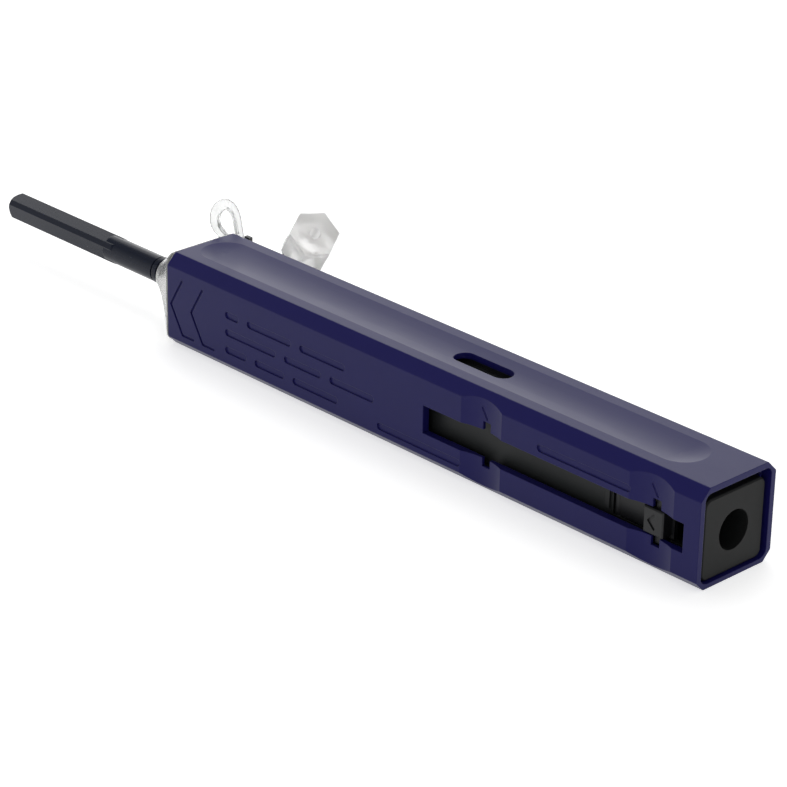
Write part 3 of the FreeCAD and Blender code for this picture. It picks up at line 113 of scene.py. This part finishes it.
def from_srgb(red: int, green: int, blue: int) -> Colour:
    """Turns a screen colour into the linear colour that a shader takes.

    Args:
        red: Red from 0 to 255.
        green: Green from 0 to 255.
        blue: Blue from 0 to 255.

    Returns:
        The linear colour.
    """
    def linear(value: int) -> float:
        share = value / 255
        return share / 12.92 if share <= 0.04045 else ((share + 0.055) / 1.055) ** 2.4

    return (linear(red), linear(green), linear(blue))


class Grain(Enum):
    """The fine relief that a surface carries."""

    SPARK = "spark-eroded mould grain"
    DRAWN = "fine lines along the pen"
    WOVEN = "woven tape"
    SMOOTH = "polished mould"


@dataclass(frozen=True)
class Finish:
    """One surface finish.

    Attributes:
        colour: Linear base colour.
        roughness: Mean roughness.
        spread: How far the roughness wanders either way.
        tint: How far the colour wanders, as a share of itself.
        grain: The kind of relief.
        grain_mm: Size of one grain.
        depth_mm: Height of the relief.
        metallic: 1 for metal.
        milky: How much light passes through, from 0 to 1.
        edge_mm: Radius of the worn, rounded edge that catches the light.
        shine: Specular level, 0.5 for common plastic.
    """

    colour: Colour
    roughness: float
    spread: float = 0.05
    tint: float = 0.06
    grain: Grain = Grain.SPARK
    grain_mm: float = 0.25
    depth_mm: float = 0.006
    metallic: float = 0.0
    milky: float = 0.0
    edge_mm: float = 0.12
    shine: float = 0.5


FINISHES: Dict[str, Finish] = {
    "sleeve_blue": Finish(from_srgb(25, 23, 84), 0.33, grain_mm=0.3, depth_mm=0.004, edge_mm=0.2,
                          shine=0.16),
    "front_black": Finish(from_srgb(16, 17, 20), 0.42),
    "tether_clear": Finish(from_srgb(250, 251, 250), 0.22, grain=Grain.SMOOTH, milky=0.85, tint=0.01),
    "cap_clear": Finish(from_srgb(252, 251, 250), 0.3, grain=Grain.SMOOTH, milky=0.85, tint=0.01),
    "case_grey": Finish(from_srgb(28, 30, 31), 0.5, grain=Grain.DRAWN, grain_mm=0.5, shine=0.3),
    "cover_grey": Finish(from_srgb(26, 27, 27), 0.5, grain_mm=0.35, depth_mm=0.012, shine=0.15),
    "latch_black": Finish(from_srgb(17, 18, 21), 0.4, shine=0.35),
    "tube_dark": Finish(from_srgb(14, 16, 26), 0.3, grain=Grain.DRAWN, shine=0.3),
    "nozzle_dark": Finish(from_srgb(12, 20, 38), 0.26, grain=Grain.DRAWN, grain_mm=0.4, shine=0.2),
    "gear_white": Finish(from_srgb(226, 226, 218), 0.35, grain=Grain.SMOOTH, tint=0.03),
    "steel": Finish(from_srgb(186, 188, 192), 0.28, grain=Grain.DRAWN, metallic=1.0, depth_mm=0.002),
    "tape_white": Finish(from_srgb(238, 238, 234), 0.85, grain=Grain.WOVEN, grain_mm=0.12, depth_mm=0.02),
    "tape_used": Finish(from_srgb(220, 216, 204), 0.85, grain=Grain.WOVEN, grain_mm=0.12, depth_mm=0.02),
}


class Painter:
    """Makes one node-based material for each of the record's slots and assigns it."""

    def __init__(self, finishes: Dict[str, Finish]) -> None:
        """Keeps the finishes.

        Args:
            finishes: Slot name to finish.
        """
        self.finishes = finishes
        self.made: Dict[str, bpy.types.Material] = {}

    def material(self, slot: str) -> bpy.types.Material:
        """Gives a slot's material, made on first use.

        Args:
            slot: The record's slot name.

        Returns:
            The material.
        """
        if slot not in self.made:
            self.made[slot] = self._make(slot, self.finishes[slot])
        return self.made[slot]

    def _make(self, slot: str, finish: Finish) -> bpy.types.Material:
        """Builds a slot's node tree.

        Args:
            slot: The slot's name.
            finish: Its finish.

        Returns:
            The new material.
        """
        material = bpy.data.materials.new("finish_" + slot)
        material.use_nodes = True
        tree = material.node_tree
        shader = tree.nodes["Principled BSDF"]
        shader.inputs["Metallic"].default_value = finish.metallic
        shader.inputs["Specular IOR Level"].default_value = finish.shine
        coords = tree.nodes.new("ShaderNodeTexCoord")
        self._colour(tree, shader, coords, finish)
        self._roughness(tree, shader, coords, finish)
        self._relief(tree, shader, coords, finish)
        if finish.milky:
            self._milky(shader, finish)
        return material

    @staticmethod
    def _noise(tree: bpy.types.NodeTree, coords: bpy.types.Node, size_mm: float,
               stretch: Sequence[float] = (1.0, 1.0, 1.0), detail: float = 3.0) -> bpy.types.Node:
        """Adds a noise texture in the object's own coordinates.

        Args:
            tree: The node tree.
            coords: The texture coordinate node.
            size_mm: Size of one blob.
            stretch: How many times longer the blobs are along each axis.
            detail: The noise's detail.

        Returns:
            The noise node.
        """
        mapping = tree.nodes.new("ShaderNodeMapping")
        mapping.inputs["Scale"].default_value = [1 / value for value in stretch]
        noise = tree.nodes.new("ShaderNodeTexNoise")
        noise.inputs["Scale"].default_value = 1 / (size_mm * MM)
        noise.inputs["Detail"].default_value = detail
        tree.links.new(coords.outputs["Object"], mapping.inputs["Vector"])
        tree.links.new(mapping.outputs["Vector"], noise.inputs["Vector"])
        return noise

    def _colour(self, tree: bpy.types.NodeTree, shader: bpy.types.Node, coords: bpy.types.Node,
                finish: Finish) -> None:
        """Lets the colour wander a little over the surface.

        Args:
            tree: The node tree.
            shader: The Principled shader.
            coords: The texture coordinate node.
            finish: The finish.
        """
        noise = self._noise(tree, coords, TINT_PATCH_MM)
        blend = tree.nodes.new("ShaderNodeMix")
        blend.data_type = "RGBA"
        blend.inputs["A"].default_value = [c * (1 - finish.tint) for c in finish.colour] + [1]
        blend.inputs["B"].default_value = [min(1.0, c * (1 + finish.tint)) for c in finish.colour] + [1]
        tree.links.new(noise.outputs["Fac"], blend.inputs["Factor"])
        tree.links.new(blend.outputs["Result"], shader.inputs["Base Color"])

    def _roughness(self, tree: bpy.types.NodeTree, shader: bpy.types.Node, coords: bpy.types.Node,
                   finish: Finish) -> None:
        """Lets the gloss wander, as handling leaves it.

        Args:
            tree: The node tree.
            shader: The Principled shader.
            coords: The texture coordinate node.
            finish: The finish.
        """
        noise = self._noise(tree, coords, GLOSS_PATCH_MM, stretch=(2.5, 1.0, 1.0), detail=5.0)
        span = tree.nodes.new("ShaderNodeMapRange")
        span.inputs["To Min"].default_value = max(LOWEST_ROUGHNESS, finish.roughness - finish.spread)
        span.inputs["To Max"].default_value = finish.roughness + finish.spread
        tree.links.new(noise.outputs["Fac"], span.inputs["Value"])
        tree.links.new(span.outputs["Result"], shader.inputs["Roughness"])

    def _relief(self, tree: bpy.types.NodeTree, shader: bpy.types.Node, coords: bpy.types.Node,
                finish: Finish) -> None:
        """Adds the fine relief on top of softened edges.

        Args:
            tree: The node tree.
            shader: The Principled shader.
            coords: The texture coordinate node.
            finish: The finish.
        """
        edge = tree.nodes.new("ShaderNodeBevel")
        edge.samples = EDGE_SAMPLES
        edge.inputs["Radius"].default_value = finish.edge_mm * MM
        bump = tree.nodes.new("ShaderNodeBump")
        bump.inputs["Distance"].default_value = finish.depth_mm * MM
        bump.inputs["Strength"].default_value = RELIEF_STRENGTH
        tree.links.new(self._height(tree, coords, finish), bump.inputs["Height"])
        tree.links.new(edge.outputs["Normal"], bump.inputs["Normal"])
        tree.links.new(bump.outputs["Normal"], shader.inputs["Normal"])

    def _height(self, tree: bpy.types.NodeTree, coords: bpy.types.Node,
                finish: Finish) -> bpy.types.NodeSocket:
        """Chooses the height pattern for a kind of grain.

        Args:
            tree: The node tree.
            coords: The texture coordinate node.
            finish: The finish.

        Returns:
            The socket that carries the height.
        """
        if finish.grain is Grain.DRAWN:
            lines = self._noise(tree, coords, finish.grain_mm, stretch=(DRAWN_STRETCH, 1.0, 1.0))
            return lines.outputs["Fac"]
        if finish.grain is Grain.WOVEN:
            wave = tree.nodes.new("ShaderNodeTexWave")
            wave.inputs["Scale"].default_value = 1 / (finish.grain_mm * MM) / 6.0
            wave.inputs["Distortion"].default_value = 1.5
            tree.links.new(coords.outputs["Object"], wave.inputs["Vector"])
            return wave.outputs["Fac"]
        if finish.grain is Grain.SMOOTH:
            return self._noise(tree, coords, FLOW_PATCH_MM, detail=1.0).outputs["Fac"]
        return self._noise(tree, coords, finish.grain_mm, detail=2.0).outputs["Fac"]

    @staticmethod
    def _milky(shader: bpy.types.Node, finish: Finish) -> None:
        """Lets light pass through and scatter inside.

        Args:
            shader: The Principled shader.
            finish: The finish.
        """
        shader.inputs["Transmission Weight"].default_value = finish.milky
        shader.inputs["IOR"].default_value = PLASTIC_IOR
        shader.inputs["Subsurface Weight"].default_value = SCATTER_SHARE
        shader.inputs["Subsurface Radius"].default_value = (1.0, 1.0, 1.0)
        shader.inputs["Subsurface Scale"].default_value = SCATTER_MM * MM

    def dress(self, nodes: Dict[str, bpy.types.Object], subparts: Sequence[Dict[str, str]]) -> None:
        """Assigns every frame node its slot's material.

        Args:
            nodes: Node name to object.
            subparts: The record's list of nodes and slots.
        """
        for entry in subparts:
            node = nodes[entry["node"]]
            for place in node.material_slots:
                place.material = self.material(entry["material_slot"])
            smooth_by_angle(node)
            LOG.info("dressed %s in %s", entry["node"], entry["material_slot"])


def twin(node: bpy.types.Object, name: str) -> bpy.types.Object:
    """Makes a piece of a node's shape, and lets it stand for the node.

    Args:
        node: The frame's node, whose own mesh stays as it is.
        name: The new piece's name.

    Returns:
        The new piece, with its doubles merged, at the origin.
    """
    mesh = node.data.copy()
    mesh.transform(node.matrix_world)
    shape = bmesh.new()
    shape.from_mesh(mesh)
    bmesh.ops.remove_doubles(shape, verts=shape.verts, dist=MERGE_MM * MM)
    shape.to_mesh(mesh)
    shape.free()
    piece = bpy.data.objects.new(name, mesh)
    bpy.context.scene.collection.objects.link(piece)
    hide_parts(node.name)
    smooth_by_angle(piece)
    LOG.info("made %s, which stands for %s", name, node.name)
    return piece


@dataclass(frozen=True)
class Spring:
    """A coil spring that a joint presses together.

    Attributes:
        name: The spring's node.
        piece: Name of the piece that stands for it.
        body: The body that it rides on.
        joint: The joint that presses it.
        along: 0 for a spring along the pen, 1 for one across it.
        to_low_end: Whether it shortens towards its lower end along that axis.
    """

    name: str
    piece: str
    body: str
    joint: str
    along: int
    to_low_end: bool

    def follow(self, node: bpy.types.Object, joint: Dict) -> None:
        """Makes the spring's piece and lets it ride on its body.

        Args:
            node: The spring's node.
            joint: The joint's entry in the record; not used.
        """
        coil = twin(node, self.piece)
        places = [corner.co for corner in coil.data.vertices]
        middle = sum(places, Vector()) / len(places)
        low = min(place[self.along] for place in places)
        high = max(place[self.along] for place in places)
        anchor = middle.copy()
        anchor[self.along] = low if self.to_low_end else high
        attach(coil, self.body)
        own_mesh(coil)


@dataclass(frozen=True)
class TapeDrive:
    """The springs and the two tape runs of the pen.

    Attributes:
        springs: The coil springs.
        runs: Each tape run's node, its piece, its slot and the place, in millimetres, up to which it
            stays with the case.
        carriage_mm: Place from which a run moves with the carriage; not used.
    """

    springs: Tuple[Spring, ...] = (
        Spring("return_spring", "return_coil", "cartridge", "nozzle_stroke", 0, False),
        Spring("tip_spring", "tip_coil", "nozzle_slide", "tip_press", 0, False),
        Spring("latch_spring", "latch_coil", "latch", "release_latch", 1, True),
    )
    runs: Tuple[Tuple[str, str, str, float], ...] = (
        ("tape_feed", "feed_run", "tape_white", 6.0),
        ("tape_return", "return_run", "tape_used", 3.0),
    )
    carriage_mm: float = -12.0

    def follow(self, nodes: Dict[str, bpy.types.Object], joints: Sequence[Dict]) -> None:
        """Makes a piece for each spring and each tape run; each spring's piece rides on its body.

        Args:
            nodes: Node name to object.
            joints: The record's joints.
        """
        by_name = {joint["name"]: joint for joint in joints}
        for spring in self.springs:
            spring.follow(nodes[spring.name], by_name[spring.joint])
        for name, piece, slot, case_mm in self.runs:
            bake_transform(twin(nodes[name], piece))


def smooth_by_angle(piece: bpy.types.Object) -> None:
    """Shades a piece smooth, with crisp edges, through a modifier.

    Args:
        piece: The object.
    """
    group = bpy.data.node_groups.get("crisp_edges") or make_crisp_edges(CRISP_EDGE_DEG)
    piece.modifiers.new("crisp_edges", "NODES").node_group = group


def make_crisp_edges(limit_deg: float) -> bpy.types.NodeTree:
    """Builds a Geometry Nodes group that shades smooth up to an angle.

    Args:
        limit_deg: Angle from which an edge stays crisp.

    Returns:
        The node group.
    """
    group = bpy.data.node_groups.new("crisp_edges", "GeometryNodeTree")
    group.interface.new_socket("Geometry", in_out="INPUT", socket_type="NodeSocketGeometry")
    group.interface.new_socket("Geometry", in_out="OUTPUT", socket_type="NodeSocketGeometry")
    entry = group.nodes.new("NodeGroupInput")
    leave = group.nodes.new("NodeGroupOutput")
    angle = group.nodes.new("GeometryNodeInputMeshEdgeAngle")
    compare = group.nodes.new("FunctionNodeCompare")
    compare.operation = "LESS_EQUAL"
    compare.inputs["B"].default_value = math.radians(limit_deg)
    faces = group.nodes.new("GeometryNodeSetShadeSmooth")
    faces.domain = "FACE"
    edges = group.nodes.new("GeometryNodeSetShadeSmooth")
    edges.domain = "EDGE"
    group.links.new(angle.outputs["Unsigned Angle"], compare.inputs["A"])
    group.links.new(compare.outputs["Result"], edges.inputs["Shade Smooth"])
    group.links.new(entry.outputs[0], faces.inputs["Geometry"])
    group.links.new(faces.outputs["Geometry"], edges.inputs["Geometry"])
    group.links.new(edges.outputs["Geometry"], leave.inputs[0])
    return group


@dataclass(frozen=True)
class Softbox:
    """A square soft lamp that faces the pen.

    Attributes:
        name: The lamp's name.
        place: Its place, in metres.
        size: Its side, in metres.
        watts: Its power.
    """

    name: str
    place: Point
    size: float
    watts: float

    def hang(self) -> None:
        """Hangs the lamp."""
        data = bpy.data.lights.new(self.name, "AREA")
        data.size = self.size
        data.energy = self.watts
        lamp = bpy.data.objects.new(self.name, data)
        lamp.location = self.place
        lamp.visible_camera = False
        aim = Vector(self.place).to_track_quat("Z", "Y")
        lamp.rotation_euler = aim.to_euler()
        bpy.context.scene.collection.objects.link(lamp)


@dataclass(frozen=True)
class Studio:
    """The pale floor, the soft lamps and the camera.

    Attributes:
        floor_reach: Half the floor's side, in metres.
        floor_shade: How much light the floor gives back.
        floor_glow: How much the floor glows where it is seen or mirrored, so that it stays white.
        sky_low: Strength of the surrounding light near the horizon.
        sky_high: Its strength overhead.
        sky_rise: The two heights in the sky between which one passes into the other, from 0 to 1.
        lens_mm: The camera's focal length.
        sensor_mm: The camera's sensor width.
        eye: The camera's place, in millimetres.
        aim: The point at the middle of the picture, in millimetres.
        roll_deg: The camera's turn about its own line of sight.
        lamps: The soft lamps.
    """

    floor_reach: float = 4.0
    floor_shade: float = 0.78
    floor_glow: float = 0.6
    sky_low: float = 1.1
    sky_high: float = 0.35
    sky_rise: Tuple[float, float] = (0.1, 0.7)
    lens_mm: float = 140.39
    sensor_mm: float = 36.0
    eye: Point = (385.26, -387.1, 262.07)
    aim: Point = (-15.55, -0.25, 5.73)
    roll_deg: float = 1.07
    lamps: Tuple[Softbox, ...] = (
        Softbox("overhead_softbox", (-0.3, 0.35, 0.9), 0.7, 3.0),
        Softbox("back_softbox", (-1.1, 1.05, 0.66), 1.3, 5.0),
        Softbox("front_softbox", (0.35, -0.8, 0.6), 0.6, 0.3),
    )

    def camera(self) -> None:
        """Places the camera."""
        data = bpy.data.cameras.new("studio_camera")
        data.lens = self.lens_mm
        data.sensor_width = self.sensor_mm
        data.clip_start = 0.01
        data.clip_end = 20.0
        camera = bpy.data.objects.new("studio_camera", data)
        bpy.context.scene.collection.objects.link(camera)
        back = (mm(*self.eye) - mm(*self.aim)).normalized()
        right = Vector((0, 0, 1)).cross(back).normalized()
        up = back.cross(right)
        roll = math.radians(self.roll_deg)
        turned_right = right * math.cos(roll) + up * math.sin(roll)
        turned_up = up * math.cos(roll) - right * math.sin(roll)
        frame = Matrix((turned_right, turned_up, back)).transposed().to_4x4()
        frame.translation = mm(*self.eye)
        camera.matrix_world = frame
        bpy.context.scene.camera = camera

    def floor(self) -> None:
        """Lays the pale floor, which keeps the pen's soft shadow."""
        reach = self.floor_reach
        mesh = bpy.data.meshes.new("floor")
        corners = [(-reach, -reach, 0), (reach, -reach, 0), (reach, reach, 0), (-reach, reach, 0)]
        mesh.from_pydata(corners, [], [(0, 1, 2, 3)])
        floor = bpy.data.objects.new("floor", mesh)
        bpy.context.scene.collection.objects.link(floor)
        material = bpy.data.materials.new("floor_white")
        material.use_nodes = True
        tree = material.node_tree
        tree.nodes.clear()
        cloth = tree.nodes.new("ShaderNodeBsdfDiffuse")
        cloth.inputs["Color"].default_value = (self.floor_shade,) * 3 + (1,)
        glow = tree.nodes.new("ShaderNodeEmission")
        share = self._seen_directly(tree, self.floor_glow)
        tree.links.new(share, glow.inputs["Strength"])
        both = tree.nodes.new("ShaderNodeAddShader")
        leave = tree.nodes.new("ShaderNodeOutputMaterial")
        tree.links.new(cloth.outputs[0], both.inputs[0])
        tree.links.new(glow.outputs[0], both.inputs[1])
        tree.links.new(both.outputs[0], leave.inputs["Surface"])
        mesh.materials.append(material)

    @staticmethod
    def _seen_directly(tree: bpy.types.NodeTree, strength: float) -> bpy.types.NodeSocket:
        """Gives a strength for camera, glossy and transmitted rays, and none for the others.

        Args:
            tree: The node tree.
            strength: The strength for those rays.

        Returns:
            The socket that carries it.
        """
        path = tree.nodes.new("ShaderNodeLightPath")
        first = tree.nodes.new("ShaderNodeMath")
        first.operation = "MAXIMUM"
        second = tree.nodes.new("ShaderNodeMath")
        second.operation = "MAXIMUM"
        scaled = tree.nodes.new("ShaderNodeMath")
        scaled.operation = "MULTIPLY"
        scaled.inputs[1].default_value = strength
        tree.links.new(path.outputs["Is Camera Ray"], first.inputs[0])
        tree.links.new(path.outputs["Is Glossy Ray"], first.inputs[1])
        tree.links.new(first.outputs[0], second.inputs[0])
        tree.links.new(path.outputs["Is Transmission Ray"], second.inputs[1])
        tree.links.new(second.outputs[0], scaled.inputs[0])
        return scaled.outputs[0]

    def sky_light(self) -> None:
        """Sets the even light of the room and its white look."""
        world = bpy.data.worlds.new("studio")
        bpy.context.scene.world = world
        world.use_nodes = True
        tree = world.node_tree
        plain = tree.nodes["Background"]
        plain.inputs["Color"].default_value = (1, 1, 1, 1)
        coords = tree.nodes.new("ShaderNodeTexCoord")
        parts = tree.nodes.new("ShaderNodeSeparateXYZ")
        rise = tree.nodes.new("ShaderNodeMapRange")
        rise.interpolation_type = "SMOOTHSTEP"
        rise.inputs["From Min"].default_value = self.sky_rise[0]
        rise.inputs["From Max"].default_value = self.sky_rise[1]
        rise.inputs["To Min"].default_value = self.sky_low
        rise.inputs["To Max"].default_value = self.sky_high
        path = tree.nodes.new("ShaderNodeLightPath")
        seen = tree.nodes.new("ShaderNodeMath")
        seen.operation = "MAXIMUM"
        choice = tree.nodes.new("ShaderNodeMix")
        choice.inputs["B"].default_value = 1.0
        tree.links.new(coords.outputs["Generated"], parts.inputs["Vector"])
        tree.links.new(parts.outputs["Z"], rise.inputs["Value"])
        tree.links.new(path.outputs["Is Camera Ray"], seen.inputs[0])
        tree.links.new(path.outputs["Is Transmission Ray"], seen.inputs[1])
        tree.links.new(seen.outputs[0], choice.inputs["Factor"])
        tree.links.new(rise.outputs["Result"], choice.inputs["A"])
        tree.links.new(choice.outputs["Result"], plain.inputs["Strength"])

    def build(self) -> None:
        """Sets up everything."""
        self.camera()
        self.floor()
        self.sky_light()
        for lamp in self.lamps:
            lamp.hang()
        bpy.context.scene.view_settings.view_transform = "Standard"


def main() -> None:
    """Dresses the pen and sets the scene."""
    logging.basicConfig(level=logging.INFO)
    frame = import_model()
    Painter(FINISHES).dress(frame["nodes"], frame["record"]["subparts"])
    TapeDrive().follow(frame["nodes"], frame["record"]["behaviour"]["joints"])
    Studio().build()
    LOG.info("dressed %d nodes", len(frame["nodes"]))


if __name__ == "__main__":
    main()
